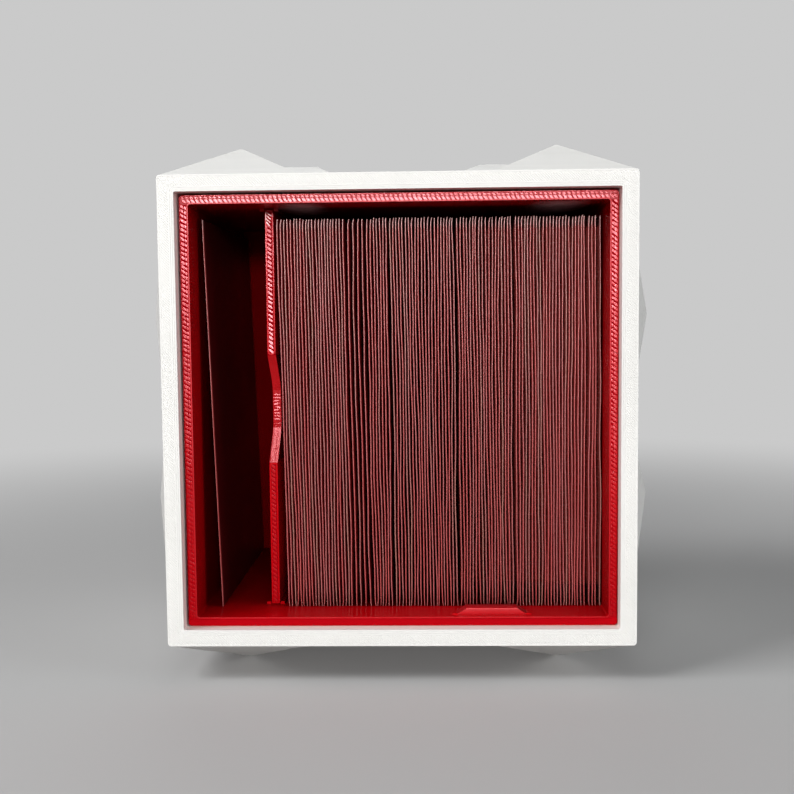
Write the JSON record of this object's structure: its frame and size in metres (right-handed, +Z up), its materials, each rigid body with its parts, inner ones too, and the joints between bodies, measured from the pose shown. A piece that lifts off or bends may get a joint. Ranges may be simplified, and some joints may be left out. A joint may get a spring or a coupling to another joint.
{
  "type": "card box with drawer",
  "caption": "Square faceted case, open at the front, with a slide-out tray that holds a deck of sleeved cards on edge beside a divider and a narrow side compartment.",
  "frame": {"origin": "on the surface the box stands on, under the middle of the case", "axes": "+Z up, -Y towards the open front, +X to the right as seen from the front"},
  "size_m": [0.1182, 0.0852, 0.1236],
  "materials": {
    "case_plastic": "matte",
    "drawer_plastic": "satin",
    "divider_plastic": "satin",
    "card_sleeve": "satin"
  },
  "bodies": {
    "case": {"case": "case_plastic"},
    "drawer": {"drawer": "drawer_plastic"},
    "divider": {"divider": "divider_plastic"},
    "side_card": {"side_card": "card_sleeve"},
    "stack_1": {"cards_01_02": "card_sleeve", "cards_03_04": "card_sleeve", "cards_05_06": "card_sleeve", "cards_07_08": "card_sleeve", "cards_09_10": "card_sleeve", "cards_11_12": "card_sleeve", "cards_13_14": "card_sleeve", "cards_15_16": "card_sleeve", "cards_17_18": "card_sleeve", "cards_19_20": "card_sleeve", "cards_21_22": "card_sleeve"},
    "stack_2": {"cards_23_24": "card_sleeve", "cards_25_26": "card_sleeve"},
    "stack_3": {"cards_27_28": "card_sleeve", "cards_29_30": "card_sleeve", "cards_31_32": "card_sleeve", "cards_33": "card_sleeve"},
    "stack_4": {"cards_34_35": "card_sleeve", "cards_36_37": "card_sleeve", "cards_38_39": "card_sleeve", "cards_40_41": "card_sleeve", "cards_42_43": "card_sleeve", "cards_44_45": "card_sleeve", "cards_46_47": "card_sleeve", "cards_48_49": "card_sleeve", "cards_50_51": "card_sleeve", "cards_52_53": "card_sleeve", "cards_54": "card_sleeve"},
    "stack_5": {"cards_55_56": "card_sleeve", "cards_57_58": "card_sleeve", "cards_59_60": "card_sleeve", "cards_61_62": "card_sleeve", "cards_63_64": "card_sleeve", "cards_65_66": "card_sleeve", "cards_67_68": "card_sleeve", "cards_69_70": "card_sleeve", "cards_71_72": "card_sleeve"},
    "stack_6": {"cards_73_74": "card_sleeve", "cards_75_76": "card_sleeve", "cards_77_78": "card_sleeve", "cards_79_80": "card_sleeve", "cards_81_82": "card_sleeve", "cards_83_84": "card_sleeve", "cards_85_86": "card_sleeve", "cards_87_88": "card_sleeve", "cards_89_90": "card_sleeve", "cards_91_92": "card_sleeve", "cards_93_94": "card_sleeve", "cards_95": "card_sleeve"},
    "stack_7": {"cards_96_97": "card_sleeve", "cards_98_99": "card_sleeve"}
  },
  "joints": [
    {"name": "drawer_slide", "type": "slide", "parent": "case", "child": "drawer", "axis": [0, -1, 0], "range_m": [0, 0.07]},
    {"name": "divider_slide", "type": "slide", "parent": "drawer", "child": "divider", "axis": [0, -1, 0], "range_m": [0, 0.08]},
    {"name": "side_card_slide", "type": "slide", "parent": "drawer", "child": "side_card", "axis": [0, -1, 0], "range_m": [0, 0.08]},
    {"name": "stack_1_slide", "type": "slide", "parent": "drawer", "child": "stack_1", "axis": [0, -1, 0], "range_m": [0, 0.08]},
    {"name": "stack_2_slide", "type": "slide", "parent": "drawer", "child": "stack_2", "axis": [0, -1, 0], "range_m": [0, 0.08]},
    {"name": "stack_3_slide", "type": "slide", "parent": "drawer", "child": "stack_3", "axis": [0, -1, 0], "range_m": [0, 0.08]},
    {"name": "stack_4_slide", "type": "slide", "parent": "drawer", "child": "stack_4", "axis": [0, -1, 0], "range_m": [0, 0.0034]},
    {"name": "stack_5_slide", "type": "slide", "parent": "drawer", "child": "stack_5", "axis": [0, -1, 0], "range_m": [0, 0.0034]},
    {"name": "stack_6_slide", "type": "slide", "parent": "drawer", "child": "stack_6", "axis": [0, -1, 0], "range_m": [0, 0.0034]},
    {"name": "stack_7_slide", "type": "slide", "parent": "drawer", "child": "stack_7", "axis": [0, -1, 0], "range_m": [0, 0.08]}
  ]
}
